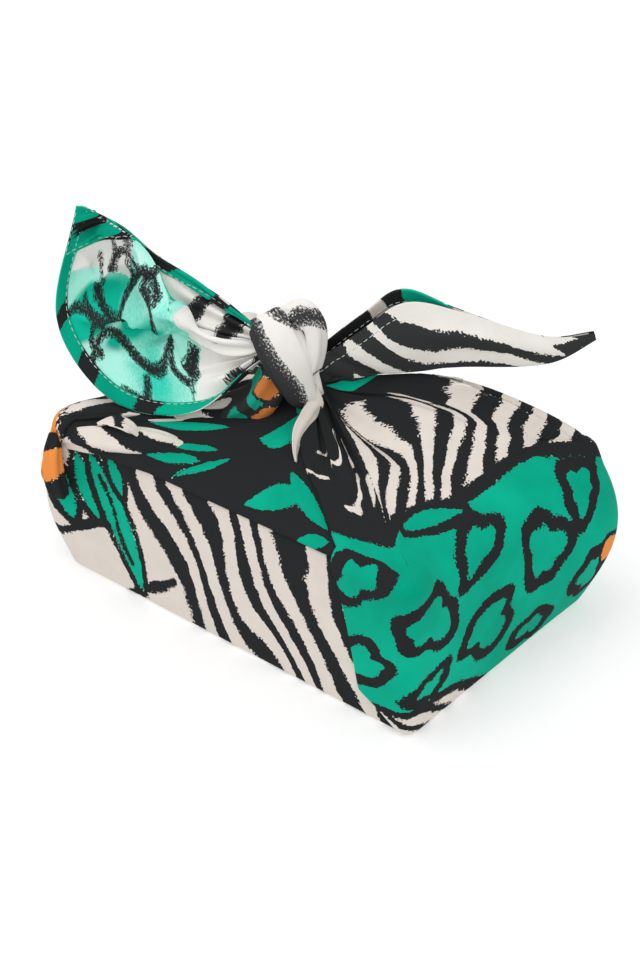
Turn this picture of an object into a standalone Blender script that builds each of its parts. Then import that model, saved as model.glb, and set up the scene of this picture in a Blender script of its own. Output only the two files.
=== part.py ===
"""A lunch box sized parcel wrapped in one hemmed square of printed cotton.

The square is laid cornerwise under the box.  The front corner goes up the
front, the back corner comes over the top and ends in a folded edge along the
front top edge, and the two end corners are gathered and tied above the lid.
The tie leaves a cupped ear on one side and a folded tail on the other.
Everything is one cloth, so it is one solid, standing on its flat base.
"""

import math

import bmesh
import bpy
import numpy as np

MM = 0.001

# Parcel, in metres
LENGTH = 0.216
WIDTH = 0.140
RIM_HEIGHT = 0.080
CORNER_RADIUS = 0.006
BOTTOM_EDGE_RADIUS = 0.002
TOP_EDGE_RADIUS = 0.004  # on the long sides
RIGHT_EDGE_RADIUS = 0.020  # where the cloth rolls over the right end
LEFT_EDGE_RADIUS = 0.012
GATHER = (-0.008, 0.006)  # where the pleats of the top meet
GATHER_HEIGHT = 0.106
RISE_SHARES = (0.62, 0.38)  # the top rises slowly, then steeply at the gather
RISE_POWERS = (1.1, 7)
RIM_EASE = (0.03, 0.02)  # how the ends' rim radii fade at a near, a far corner

# Cloth
CLOTH = 0.002
LAYER = 0.0016  # how far one layer stands off the layer beneath it
LAYER_EDGE = 0.0006  # width of the step at a layer's edge

# Tie
KNOT = (-0.017, -0.004, 0.123)
TIE_TURN = math.radians(39.7)  # the tie lies askew to the long sides

# Distances round the rim, counted from the middle of the front
PERIMETER = 2 * (LENGTH + WIDTH) - (8 - 2 * math.pi) * CORNER_RADIUS
FRONT_HALF = LENGTH / 2 - CORNER_RADIUS
SIDE = WIDTH - 2 * CORNER_RADIUS
ARC = math.pi / 2 * CORNER_RADIUS
NEAR_RIGHT = FRONT_HALF + ARC / 2
FAR_RIGHT = NEAR_RIGHT + SIDE + ARC
FAR_LEFT = PERIMETER - FAR_RIGHT
NEAR_LEFT = PERIMETER - NEAR_RIGHT

# Swellings of the walls where loose cloth stands off the box, in millimetres:
# place round the rim, spread, how far out, how far the rim is lifted there
SWELL_COLUMNS = ("place", "spread", "out", "lift", "height")
SWELLS = (
    (NEAR_LEFT / MM - 8, 24, 12.5, 5, 0.52),
    (FAR_RIGHT / MM - 6, 40, 15, 9.6, 0.53),
    (FAR_LEFT / MM + 6, 26, 9, 6, 0.60),
    (NEAR_RIGHT / MM + 66, 46, 3, 3, 0.50),
    (FAR_RIGHT / MM + 110, 70, 3, 1, 0.50),
    (FAR_LEFT / MM + 68, 44, 4, 6, 0.50),
    (0, 60, 1, 0, 0.50),
)

# Pleats that run from the gather to the rim, in millimetres at the rim:
# place round the rim, half width, depth (a ridge is negative), and the part
# of the way from the rim to the gather where each begins and is deepest
PLEAT_COLUMNS = ("place", "half_width", "depth", "begins", "deepest")
PLEATS = (
    (72, 9, 2.4, 0.10, 0.62),
    (92, 9, -1.6, 0.20, 0.62),
    (114, 10, 2.6, 0.25, 0.62),
    (134, 10, -1.6, 0.20, 0.62),
    (158, 10, 2.2, 0.20, 0.62),
    (188, 12, -1.6, 0.05, 0.60),
    (216, 9, 2.4, 0.00, 0.40),
    (236, 11, -3.0, 0.00, 0.50),
    (262, 12, 2.6, 0.05, 0.60),
    (300, 12, -1.8, 0.20, 0.60),
    (340, 14, 2.0, 0.30, 0.62),
    (400, 14, -1.8, 0.20, 0.62),
    (430, 12, 2.2, 0.10, 0.60),
    (462, 12, -2.6, 0.00, 0.50),
    (494, 12, 2.0, 0.10, 0.60),
    (540, 14, -3.0, 0.05, 0.60),
)

PLEAT_END = (0.8, 0.2)  # where the pleats begin to die out, and over how much

# The cloth drawn tight from the far right corner of the rim up to the knot, in
# millimetres: place of its ridge, spread on the near and the far side, height
# over the rest of the top, where along the way it is highest, how blunt its
# arch is, and the share it sags by over a further part of the way
TENT = {"place": 240, "near": 54, "far": 46, "height": 16.6, "highest": 0.52,
        "blunt": 0.62, "sag": 0.27, "sag_reach": 0.35}

# Edges of the layers: how far up the wall and over the top (0 foot of the
# wall, 1 rim, 2 gather) and the place round the rim in millimetres
RIGHT_NEAR_EDGE = ((0.02, 107), (0.14, 92), (0.20, 82), (0.60, 74), (1.0, 65),
                   (1.31, 56), (1.47, 42), (1.66, 28), (1.83, 12), (1.97, 0))
RIGHT_FAR_EDGE = ((0.02, 243), (0.14, 258), (0.20, 268), (0.60, 279), (1.0, 290),
                  (1.30, 300), (1.60, 312), (1.97, 330))
LEFT_NEAR_EDGE = ((0.02, 590), (0.40, 590), (0.90, 600), (1.0, 602),
                  (1.30, 602), (1.60, 602), (1.97, 600))
LEFT_FAR_EDGE = ((0.02, 455), (0.14, 442), (0.20, 432), (0.60, 420), (1.0, 408),
                 (1.30, 398), (1.60, 386), (1.97, 370))
# The flap's folded edge along the front: place from the middle and climb
FLAP_EDGE = ((-110, 0.88), (-80, 0.92), (-46, 0.955), (66, 0.965))
FLAP_CLIMB = 0.965  # the highest part of that edge
FLAP_BLEND = 1.3  # above this the flap's rows run level again
PANELS_OVER_FLAP = (0.9, 0.2)  # where the end panels climb on to the flap
LAYER_START = 0.05  # the layers leave the foot of the wall over this much

# The ear, a corner of the square, by sections from the knot to its tip, in
# millimetres from the knot: across, away and up for the lower hem, the fold
# at its front, and the upper hem; how deep it is cupped and how far it is
# folded back on itself
EAR_COLUMNS = ("lower", "fold", "upper", "cup", "back")
EAR = (
    ((-9, -3, 2), (-10, -1, 4), (-9, 7, 6), 0, 0),
    ((-44, -5, -28), (-36, 5, 5), (-38, 22, 25), 13, 6),
    ((-85, 8, -29), (-53, 17, 16), (-61, 32, 36), 21, 5),
    ((-111, 25, 6), (-68, 33, 37), (-75, 38, 46), 16, 0),
    ((-99, 36, 60), (-93, 37, 58), (-91, 37, 57), 1, 0),
)
EAR_HOLLOW_WAY = np.array([0.35, 0.9, 0.25])  # across, away, up
EAR_BACK_WAY = np.array([-1.0, 1.0, -0.8])
EAR_HOLLOW = 0.45  # where the hollow lies between the lower hem and the fold
EAR_HIDDEN = 0.25  # where the hidden fold lies between the fold and upper hem
EAR_BEHIND = 0.6  # and the cloth behind it, between that and the upper hem

# The tail, the opposite corner, folded lengthwise, in the same way: the hem
# in front, the fold below and the hem behind; how far its faces belly out
TAIL_COLUMNS = ("front", "fold", "back", "belly")
TAIL = (
    ((8, -4, -6), (9, -1, -16), (8, 4, -4), 0),
    ((34, -6, 16), (33, -6, -8.5), (34, 7, 17.5), 3),
    ((54, -9, 32), (54, -9, -4), (53, 5, 32), 4),
    ((79, -13, 29.5), (82, -13, 1), (77, -4, 27), 4),
    ((108, -18, 22), (110, -18, 4), (106, -14, 20.5), 3),
    ((124, -21, 20.5), (125, -21, 9), (122, -18, 19), 1.5),
    ((139, -24, 24), (140, -24, 21), (139, -22, 24), 0),
)
TAIL_BELLY_WAY = np.array([0, 1, 0])
TAIL_BACK_BELLY = 2  # how much more the face behind bellies out

# The bands of the knot, by points along each: across, away and up from the
# knot, half width and half thickness, in millimetres
WRAP_BAND = (
    (12, -4, -23, 6, 4),
    (7, -9, -14, 9, 5),
    (2, -11, 0, 11, 5),
    (-4, -8, 12, 11, 5),
    (-8, -1, 18, 10, 5),
    (-9, 7, 10, 9, 5),
    (-5, 9, -6, 8, 5),
)
TOP_LOBE = (
    (8, -7, -12, 5, 4),
    (13, -5, 2, 6, 4),
    (13, -2, 15, 7, 4.5),
    (7, 1, 22, 8, 5),
    (0, 5, 18, 8, 5),
    (-1, 8, 4, 8, 5),
)
# The strand that comes up to the knot from the left
LEFT_STRAND = (
    (-44, 14, -42, 12, 5),
    (-26, 8, -34, 12, 8),
    (-12, 2, -24, 11, 9),
    (-3, 0, -6, 9, 8),
)
# The strand that comes up to it from the right
RIGHT_STRAND = (
    (20, 4, -24, 12, 6),
    (12, 4, -16, 11, 8),
    (4, 4, -4, 10, 7),
    (2, 5, 8, 8, 6),
)
# Folds that fan out from the pinch at the front left corner of the rim, and
# the roll that hangs below it, in millimetres from the middle of the base:
# x, y and z along each, half width and half thickness
UPPER_PINCH_FOLD = (
    (-109, -66, 72, 2, 2),
    (-98, -57, 80, 6, 5),
    (-78, -43, 86, 8, 6),
    (-52, -26, 89, 8, 5),
    (-30, -10, 91, 8, 5),
)
LOWER_PINCH_FOLD = (
    (-109, -69, 70, 2, 2),
    (-97, -70, 77, 5, 4),
    (-80, -67, 81.5, 7, 6),
    (-60, -60, 83, 8, 5),
    (-42, -50, 83, 5, 2),
)
HANGING_ROLL = (
    (-106, -74, 78, 3, 3),
    (-102, -80, 72, 4.5, 4),
    (-99, -83, 64, 5, 4.5),
    (-97, -83, 56, 5, 4.5),
    (-97, -80, 50, 3, 3),
)

# Bunched cloth inside the knot: half sizes across, away and up, and its drop
KNOT_HEART = (12, 9, 19)
KNOT_HEART_DROP = 2
SPHERE_SEGMENTS, SPHERE_RINGS = 20, 12

PANEL_STRETCHES = ((RIGHT_NEAR_EDGE, RIGHT_FAR_EDGE), (LEFT_FAR_EDGE, LEFT_NEAR_EDGE))
PRINT_GREEN = (0.02, 0.42, 0.27, 1)
MATT = 0.8
EAR_STEPS = 23
TAIL_STEPS = 22
TAIL_ACROSS = 17
# Columns of faces in each stretch between two edges of layers
STRETCHES = (
    (RIGHT_NEAR_EDGE, RIGHT_FAR_EDGE, 40),
    (RIGHT_FAR_EDGE, LEFT_FAR_EDGE, 16),
    (LEFT_FAR_EDGE, LEFT_NEAR_EDGE, 28),
    (LEFT_NEAR_EDGE, RIGHT_NEAR_EDGE, 24),
)

RING = np.linspace(0, PERIMETER, 4001)
CORNER_STARTS = np.array([FRONT_HALF, NEAR_RIGHT + ARC / 2 + SIDE,
                          PERIMETER / 2 + FRONT_HALF,
                          PERIMETER - FRONT_HALF - ARC])
HEADING = sum(np.clip((RING - start) / ARC, 0, 1) for start in CORNER_STARTS)
HEADING = HEADING * math.pi / 2
STEP = RING[1] - RING[0]


def running_sum(values):
    """Integral along the ring by the trapezium rule."""
    steps = (values[1:] + values[:-1]) / 2 * STEP
    return np.concatenate([[0], np.cumsum(steps)])


RING_X = running_sum(np.cos(HEADING))
RING_Y = running_sum(np.sin(HEADING)) - WIDTH / 2


def wrapped_gap(place, other):
    """Signed distance round the ring from one place to another."""
    gap = np.mod(place - other, PERIMETER)
    return np.where(gap > PERIMETER / 2, gap - PERIMETER, gap)


def smooth_step(value):
    value = np.clip(value, 0, 1)
    return value * value * (3 - 2 * value)


def columns(rows, names):
    """The columns of a table by name, each as an array over its rows."""
    return {name: np.array([row[number] for row in rows], dtype=float)
            for number, name in enumerate(names)}


def rim_height(place):
    height = np.full_like(place, RIM_HEIGHT)
    for row in SWELLS:
        swell = dict(zip(SWELL_COLUMNS, row))
        gap = wrapped_gap(place, swell["place"] * MM) / (swell["spread"] * MM)
        height = height + swell["lift"] * MM * np.exp(-gap ** 2)
    return height


def swelling(place, level):
    """How far the wall stands out; level runs from 0 at the foot to 1."""
    out = np.zeros_like(place)
    for row in SWELLS:
        swell = dict(zip(SWELL_COLUMNS, row))
        gap = wrapped_gap(place, swell["place"] * MM) / (swell["spread"] * MM)
        peak = math.log(0.5) / math.log(swell["height"])
        arch = np.sin(math.pi * np.clip(level, 0, 1) ** peak)
        out = out + swell["out"] * MM * np.exp(-gap ** 2) * arch
    return out


def pleat_depth(place, inward):
    """Depth of the pleats; inward runs from 0 at the rim to 1 at the gather."""
    depth = np.zeros_like(place)
    for row in PLEATS:
        pleat = dict(zip(PLEAT_COLUMNS, row))
        gap = wrapped_gap(place, pleat["place"] * MM)
        gap = gap / (pleat["half_width"] * MM)
        rise = (inward - pleat["begins"]) / (pleat["deepest"] - pleat["begins"])
        fade = smooth_step(rise) * (1 - smooth_step((inward - PLEAT_END[0]) / PLEAT_END[1]))
        depth = depth + pleat["depth"] * MM * fade * np.exp(-gap ** 2)
    return depth


def tent_height(place, inward):
    """Height of the tight cloth over the rest of the top: an arch from the rim
    to the gather that falls off to both sides of its ridge."""
    gap = wrapped_gap(place, TENT["place"] * MM) / MM
    gap = gap / np.where(gap < 0, TENT["near"], TENT["far"])
    power = math.log(0.5) / math.log(TENT["highest"])
    arch = np.clip(np.sin(math.pi * inward ** power), 0, 1) ** TENT["blunt"]
    sag = 1 - TENT["sag"] * smooth_step((inward - TENT["highest"]) / TENT["sag_reach"])
    return TENT["height"] * MM * arch * sag * np.exp(-gap ** 2)


def top_edge_radius(place):
    near, far = RIM_EASE
    right = smooth_step((place - NEAR_RIGHT) / near) * smooth_step(
        (FAR_RIGHT - place) / far)
    left = smooth_step((place - FAR_LEFT) / far) * smooth_step(
        (NEAR_LEFT - place) / near)
    return (TOP_EDGE_RADIUS + (RIGHT_EDGE_RADIUS - TOP_EDGE_RADIUS) * right
            + (LEFT_EDGE_RADIUS - TOP_EDGE_RADIUS) * left)


def skin(place, climb):
    """Point on the parcel: place round it, and climb from -1 at the middle of
    the base to 0 at the foot of the wall, 1 at the rim and 2 at the gather."""
    place = np.mod(place, PERIMETER)
    x = np.interp(place, RING, RING_X)
    y = np.interp(place, RING, RING_Y)
    heading = np.interp(place, RING, HEADING)
    normal_x = np.sin(heading)
    normal_y = -np.cos(heading)

    top = rim_height(place)
    foot_arc = BOTTOM_EDGE_RADIUS * math.pi / 2
    rim_radius = top_edge_radius(place)
    rim_arc = rim_radius * math.pi / 2
    straight = top - BOTTOM_EDGE_RADIUS - rim_radius
    path = np.clip(climb, 0, 1) * (foot_arc + straight + rim_arc)
    foot_turn = np.clip(path / foot_arc, 0, 1) * math.pi / 2
    up = np.clip(path - foot_arc, 0, straight)
    rim_turn = np.clip((path - foot_arc - straight) / rim_arc, 0, 1) * math.pi / 2
    z = (BOTTOM_EDGE_RADIUS * (1 - np.cos(foot_turn)) + up
         + rim_radius * np.sin(rim_turn))
    inset = (BOTTOM_EDGE_RADIUS * (1 - np.sin(foot_turn))
             + rim_radius * (1 - np.cos(rim_turn)))
    out = swelling(place, z / top) - inset
    x = x + normal_x * out
    y = y + normal_y * out

    inward = np.clip(climb - 1, 0, 1)
    under = np.clip(-climb, 0, 1)
    x = x + (GATHER[0] - x) * (inward + under)
    y = y + (GATHER[1] - y) * (inward + under)
    slow, steep = RISE_SHARES
    rise = slow * inward ** RISE_POWERS[0] + steep * inward ** RISE_POWERS[1]
    z = np.where(climb > 1, top + (GATHER_HEIGHT - top) * rise, z)
    z = z + (tent_height(place, inward) - pleat_depth(place, inward)) * (climb > 1)
    z = np.where(climb < 0, 0, z)
    return np.stack([x, y, z], axis=-1)


def edge_place(edge, climb):
    """Place round the rim of a layer's edge at a given climb."""
    climbs = [row[0] for row in edge]
    places = [row[1] * MM for row in edge]
    return np.interp(climb, climbs, places)


def through_rows(rows, amount):
    """Smooth curve through the rows, the first at 0 and the last at 1."""
    rows = np.asarray(rows, dtype=float)
    ends = np.concatenate([[2 * rows[0] - rows[1]], rows, [2 * rows[-1] - rows[-2]]])
    position = np.clip(amount, 0, 1) * (len(rows) - 1)
    index = np.minimum(position.astype(int), len(rows) - 2)
    share = (position - index).reshape((-1,) + (1,) * (rows.ndim - 1))
    before, start, end, after = (ends[index + step] for step in range(4))
    return 0.5 * (2 * start + (end - before) * share
                  + (2 * before - 5 * start + 4 * end - after) * share ** 2
                  + (3 * start - before - 3 * end + after) * share ** 3)


def from_tie(points):
    """Tie frame (across, away, up from the knot) in millimetres to the world."""
    points = np.asarray(points, dtype=float) * MM
    across, away, up = np.moveaxis(points, -1, 0)
    x = KNOT[0] + across * math.cos(TIE_TURN) - away * math.sin(TIE_TURN)
    y = KNOT[1] + across * math.sin(TIE_TURN) + away * math.cos(TIE_TURN)
    return np.stack([x, y, KNOT[2] + up], axis=-1)


def from_base(points):
    """Millimetres from the middle of the base to the world."""
    return np.asarray(points, dtype=float) * MM


def new_object(name, bm):
    bmesh.ops.recalc_face_normals(bm, faces=bm.faces)
    mesh = bpy.data.meshes.new(name)
    bm.to_mesh(mesh)
    bm.free()
    mesh.shade_smooth()
    obj = bpy.data.objects.new(name, mesh)
    cutters.objects.link(obj)
    return obj


def loft(name, rings):
    """Closed solid through rings of equal count, with a flat cap at each end."""
    bm = bmesh.new()
    loops = [[bm.verts.new(point) for point in ring] for ring in rings]
    count = len(loops[0])
    for lower, upper in zip(loops, loops[1:]):
        for i in range(count):
            j = (i + 1) % count
            bm.faces.new((lower[i], lower[j], upper[j], upper[i]))
    bm.faces.new(loops[0][::-1])
    bm.faces.new(loops[-1])
    bmesh.ops.triangulate(bm, faces=bm.faces)
    return new_object(name, bm)


def sheet(name, points, thickness):
    """Cloth over a grid of points, thickened to both sides with Solidify."""
    rows, columns = points.shape[:2]
    bm = bmesh.new()
    bmesh.ops.create_grid(bm, x_segments=rows - 1, y_segments=columns - 1, size=1)
    bm.verts.ensure_lookup_table()
    for vertex in bm.verts:
        row = round((vertex.co.x + 1) / 2 * (rows - 1))
        column = round((vertex.co.y + 1) / 2 * (columns - 1))
        vertex.co = points[row, column]
    mesh = bpy.data.meshes.new(name)
    bm.to_mesh(mesh)
    bm.free()
    obj = bpy.data.objects.new(name, mesh)
    cutters.objects.link(obj)
    solidify = obj.modifiers.new("Cloth", "SOLIDIFY")
    solidify.thickness = thickness
    solidify.offset = 0
    solidify.use_even_offset = False
    return obj


def band(name, rows, steps, sides, placed=from_tie):
    """Band of oval section along the rows of a table."""
    amount = np.linspace(0, 1, steps)
    table = through_rows(rows, amount)
    centres = placed(table[:, :3])
    along = np.gradient(centres, axis=0)
    along /= np.linalg.norm(along, axis=1)[:, None]
    outward = centres - centres.mean(axis=0)
    side = np.cross(along, outward)
    side /= np.linalg.norm(side, axis=1)[:, None]
    outward = np.cross(side, along)
    turn = np.linspace(0, 2 * math.pi, sides, endpoint=False)
    wide = table[:, 3, None, None] * MM * np.cos(turn)[None, :, None]
    thick = table[:, 4, None, None] * MM * np.sin(turn)[None, :, None]
    rings = centres[:, None] + side[:, None] * wide + outward[:, None] * thick
    return loft(name, rings)


def core():
    """The parcel's body from the middle of the base up to the gather, with a
    step at each edge where one layer of cloth lies over another."""
    wall = np.array([0, 0.02, 0.14, 0.20, 0.35, 0.5, 0.65, 0.8, 0.9, 0.95,
                     FLAP_CLIMB])
    top = np.array([0.975, 1.0, 1.05, 1.12, 1.2, 1.3, 1.4, 1.5, 1.6, 1.7, 1.8,
                    1.88, 1.97])
    climb = np.concatenate([wall, top])
    places = []
    lifted = []
    for start, end, count in STRETCHES:
        near = edge_place(start, climb)
        far = edge_place(end, climb)
        far = np.where(far < near, far + PERIMETER, far)
        over = (start, end) in PANEL_STRETCHES
        inset = -LAYER_EDGE / 2 if over else LAYER_EDGE / 2
        for share in np.linspace(0, 1, count + 1):
            places.append(near + inset + (far - near - 2 * inset) * share)
            lifted.append(np.full_like(climb, over))
    place = np.stack(places, axis=1)
    lift = np.stack(lifted, axis=1)
    climb = np.broadcast_to(climb[:, None], place.shape)
    from_middle = wrapped_gap(place, 0)
    flap_climb = np.interp(from_middle, [row[0] * MM for row in FLAP_EDGE],
                           [row[1] for row in FLAP_EDGE])
    flap_climb = np.where(lift > 0, FLAP_CLIMB, flap_climb)
    below = climb * flap_climb / FLAP_CLIMB
    above = FLAP_BLEND - ((FLAP_BLEND - climb) * (FLAP_BLEND - flap_climb)
                          / (FLAP_BLEND - FLAP_CLIMB))
    climb = np.where(climb <= FLAP_CLIMB, below,
                     np.where(climb < FLAP_BLEND, above, climb))
    over_flap = (np.arange(len(wall) + len(top)) >= len(wall))[:, None]
    start, width = PANELS_OVER_FLAP
    lift = lift * (1 + smooth_step((climb - start) / width)) + (lift == 0) * over_flap
    points = skin(place, climb)
    along = np.roll(points, -1, axis=1) - np.roll(points, 1, axis=1)
    up = np.gradient(points, axis=0)
    normal = np.cross(along, up)
    normal /= np.linalg.norm(normal, axis=2)[:, :, None]
    fade = smooth_step(climb / LAYER_START)
    points = points + normal * (lift * fade * LAYER)[:, :, None]
    return loft("Core", points)


def ear():
    """Cupped corner: hem, hollow, front fold, hidden fold and upper hem."""
    along = np.linspace(0, 1, EAR_STEPS)
    rows = {name: through_rows(values, along)
            for name, values in columns(EAR, EAR_COLUMNS).items()}
    lower, fold, upper = rows["lower"], rows["fold"], rows["upper"]
    cup, back = rows["cup"][:, None], rows["back"][:, None]
    hollow = lower + (fold - lower) * EAR_HOLLOW + EAR_HOLLOW_WAY * cup
    hidden = fold + (upper - fold) * EAR_HIDDEN + EAR_BACK_WAY * back
    behind = hidden + (upper - hidden) * EAR_BEHIND + EAR_HOLLOW_WAY * back / 2
    section = np.stack([lower, hollow, fold, hidden, behind, upper])
    points = through_rows(section, np.linspace(0, 1, EAR_STEPS))
    return sheet("Ear", from_tie(points), CLOTH)


def tail():
    """Folded corner: hem in front, fold below and hem behind."""
    along = np.linspace(0, 1, TAIL_STEPS)
    rows = {name: through_rows(values, along)
            for name, values in columns(TAIL, TAIL_COLUMNS).items()}
    front, fold, back = rows["front"], rows["fold"], rows["back"]
    belly = rows["belly"][:, None]
    front_face = (front + fold) / 2 - TAIL_BELLY_WAY * belly
    back_face = (back + fold) / 2 + TAIL_BELLY_WAY * (belly + TAIL_BACK_BELLY)
    section = np.stack([front, front_face, fold, back_face, back])
    points = through_rows(section, np.linspace(0, 1, TAIL_ACROSS))
    return sheet("Tail", from_tie(points), CLOTH)


def knot_heart():
    """Bunched cloth inside the knot."""
    bm = bmesh.new()
    bmesh.ops.create_uvsphere(bm, u_segments=SPHERE_SEGMENTS,
                              v_segments=SPHERE_RINGS, radius=1)
    for vertex in bm.verts:
        across, away, up = (part * half for part, half in zip(vertex.co, KNOT_HEART))
        vertex.co = from_tie([across, away, up - KNOT_HEART_DROP])
    return new_object("KnotHeart", bm)


def biggest_body(mesh):
    """Delete the slivers that the unions leave loose."""
    bm = bmesh.new()
    bm.from_mesh(mesh)
    waiting = set(bm.verts)
    bodies = []
    while waiting:
        front = [waiting.pop()]
        body = list(front)
        while front:
            near = {edge.other_vert(vertex) for vertex in front
                    for edge in vertex.link_edges}
            front = list(near & waiting)
            waiting.difference_update(front)
            body.extend(front)
        bodies.append(body)
    bodies.sort(key=len)
    for body in bodies[:-1]:
        bmesh.ops.delete(bm, geom=body, context="VERTS")
    bm.to_mesh(mesh)
    bm.free()


def joined(name, solids):
    """One solid from overlapping ones, by a union of each with the first."""
    base = solids[0]
    for solid in solids[1:]:
        join = base.modifiers.new(solid.name, "BOOLEAN")
        join.operation = "UNION"
        join.solver = "MANIFOLD"  # the exact solver drops bodies here
        join.object = solid
    graph = bpy.context.evaluated_depsgraph_get()
    mesh = bpy.data.meshes.new_from_object(base.evaluated_get(graph))
    for solid in solids:
        solid.hide_render = True
        solid.display_type = "WIRE"
    biggest_body(mesh)
    mesh.shade_smooth()
    return bpy.data.objects.new(name, mesh)


def cloth_material():
    material = bpy.data.materials.new("PrintedCotton")
    material.use_nodes = True
    shader = material.node_tree.nodes["Principled BSDF"]
    shader.inputs["Base Color"].default_value = PRINT_GREEN
    shader.inputs["Roughness"].default_value = MATT
    shader.inputs["Metallic"].default_value = 0
    return material


def collection(name):
    new = bpy.data.collections.new(name)
    bpy.context.scene.collection.children.link(new)
    return new


for old in list(bpy.data.objects):
    bpy.data.objects.remove(old, do_unlink=True)
wrap_collection = collection("FuroshikiWrap")
cutters = collection("Pieces")

pieces = [
    core(),
    band("UpperPinchFold", UPPER_PINCH_FOLD, 14, 12, from_base),
    band("LowerPinchFold", LOWER_PINCH_FOLD, 12, 10, from_base),
    band("HangingRoll", HANGING_ROLL, 8, 10, from_base),
    band("LeftStrand", LEFT_STRAND, 10, 12),
    band("RightStrand", RIGHT_STRAND, 8, 10),
    band("WrapBand", WRAP_BAND, 18, 14),
    band("TopLobe", TOP_LOBE, 16, 12),
    knot_heart(),
    ear(),
    tail(),
]
wrap = joined("wrap", pieces)
wrap_collection.objects.link(wrap)
wrap.data.materials.append(cloth_material())
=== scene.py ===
import math

import bpy
import numpy as np
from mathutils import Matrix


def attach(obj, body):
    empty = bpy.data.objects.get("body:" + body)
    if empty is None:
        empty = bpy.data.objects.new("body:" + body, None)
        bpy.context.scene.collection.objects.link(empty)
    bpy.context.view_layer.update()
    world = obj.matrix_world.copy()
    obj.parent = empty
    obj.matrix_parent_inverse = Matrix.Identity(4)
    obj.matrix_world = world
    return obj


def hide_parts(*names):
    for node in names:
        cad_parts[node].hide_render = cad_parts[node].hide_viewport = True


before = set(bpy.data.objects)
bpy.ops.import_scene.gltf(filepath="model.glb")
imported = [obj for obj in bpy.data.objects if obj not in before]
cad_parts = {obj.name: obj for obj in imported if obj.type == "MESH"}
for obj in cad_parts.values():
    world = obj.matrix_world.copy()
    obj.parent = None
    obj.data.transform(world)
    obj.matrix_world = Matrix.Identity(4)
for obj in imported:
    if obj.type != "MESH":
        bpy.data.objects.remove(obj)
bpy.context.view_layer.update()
mm = 0.001


def feed(tree, node, inputs):
    # joins a shader output to its socket and sets any other value
    for name, value in inputs.items():
        if isinstance(value, Value):
            tree.links.new(value.socket, node.inputs[name])
        else:
            node.inputs[name].default_value = value


def addNode(tree, kind, output, inputs=(), **settings):
    node = tree.nodes.new(kind)
    for name, value in settings.items():
        setattr(node, name, value)
    feed(tree, node, dict(inputs))
    return Value(tree, node.outputs[output])


class Value:
    # a shader output, with short names for the nodes that take it further
    def __init__(self, tree, socket):
        self.tree, self.socket = tree, socket

    def math(self, operation, other):
        return addNode(self.tree, "ShaderNodeMath", 0, {0: self, 1: other},
                       operation=operation)

    def __add__(self, other):
        return self.math("ADD", other)

    def __sub__(self, other):
        return self.math("SUBTRACT", other)

    def __mul__(self, other):
        return self.math("MULTIPLY", other)

    def ramp(self, low, high):
        # 0 up to low, 1 from high on, with a smooth step between
        return addNode(self.tree, "ShaderNodeMapRange", "Result",
                       {"Value": self, "From Min": low, "From Max": high},
                       interpolation_type="SMOOTHSTEP")

    def noise(self, scale, detail=2.0, roughness=0.5):
        return addNode(self.tree, "ShaderNodeTexNoise", "Fac", {
            "Vector": self, "Scale": scale, "Detail": detail, "Roughness": roughness})

    def mix(self, first, second):
        # the first colour where this is 0, the second where it is 1
        first, second = (colour if isinstance(colour, Value) else colour + (1,)
                         for colour in (first, second))
        return addNode(self.tree, "ShaderNodeMix", 2, {0: self, 6: first, 7: second},
                       data_type="RGBA")

    def bump(self, strength, distance, **under):
        return addNode(self.tree, "ShaderNodeBump", "Normal", {
            "Height": self, "Strength": strength, "Distance": distance, **under})


def newMaterial(name):
    material = bpy.data.materials.new(name)
    material.use_nodes = True
    tree = material.node_tree
    return material, tree, tree.nodes["Principled BSDF"]


# camera, floor and light
stage = {
    "place": (0.4724, -0.5696, 0.5259), "tilt": 57.73, "turn": 39.7, "lens": 67.7,
    "sensor": 36, "world": 0.82, "floorHalf": 1.5, "paper": 0.55, "glow": 0.46,
}
lights = {  # place, size and watts
    "key": ((-0.45, -0.5, 1.8), 1.4, 12),
    "fill": ((1.2, -0.7, 1.0), 1.4, 3),
}
parcelMiddle = (0, 0, 0.06)
white = (1, 1, 1, 1)


def linked(name, data):
    thing = bpy.data.objects.new(name, data)
    bpy.context.scene.collection.objects.link(thing)
    return thing


def aimedTurn(place):
    # turns a lamp so that it looks at the middle of the parcel
    x, y, z = np.array(place) - parcelMiddle
    return math.atan2(math.hypot(x, y), z), 0, math.atan2(x, -y)


def makeStage():
    scene = bpy.context.scene
    camera = linked("camera", bpy.data.cameras.new("camera"))
    camera.location = stage["place"]
    camera.rotation_euler = (math.radians(stage["tilt"]), 0,
                             math.radians(stage["turn"]))
    camera.data.lens = stage["lens"]
    camera.data.sensor_width = stage["sensor"]
    scene.camera = camera
    for name, (place, size, watts) in lights.items():
        light = linked(name, bpy.data.lights.new(name, "AREA"))
        light.data.shape = "DISK"
        light.data.size = size
        light.data.energy = watts
        light.location = place
        light.rotation_euler = aimedTurn(place)
    world = bpy.data.worlds.new("studio")
    world.use_nodes = True
    background = world.node_tree.nodes["Background"]
    background.inputs["Color"].default_value = white
    background.inputs["Strength"].default_value = stage["world"]
    scene.world = world
    scene.view_settings.view_transform = "Standard"
    half, tone = stage["floorHalf"], stage["paper"]
    mesh = bpy.data.meshes.new("floor")
    mesh.from_pydata([(-half, -half, 0), (half, -half, 0), (half, half, 0),
                      (-half, half, 0)], [], [(0, 1, 2, 3)])
    floor = linked("floor", mesh)
    paper, tree, shader = newMaterial("paper")
    feed(tree, shader, {
        "Base Color": (tone, tone, tone, 1), "Roughness": 0.9,
        "Specular IOR Level": 0.1, "Emission Color": white,
        "Emission Strength": stage["glow"]})
    mesh.materials.append(paper)


makeStage()
print("stage is set")

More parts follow.
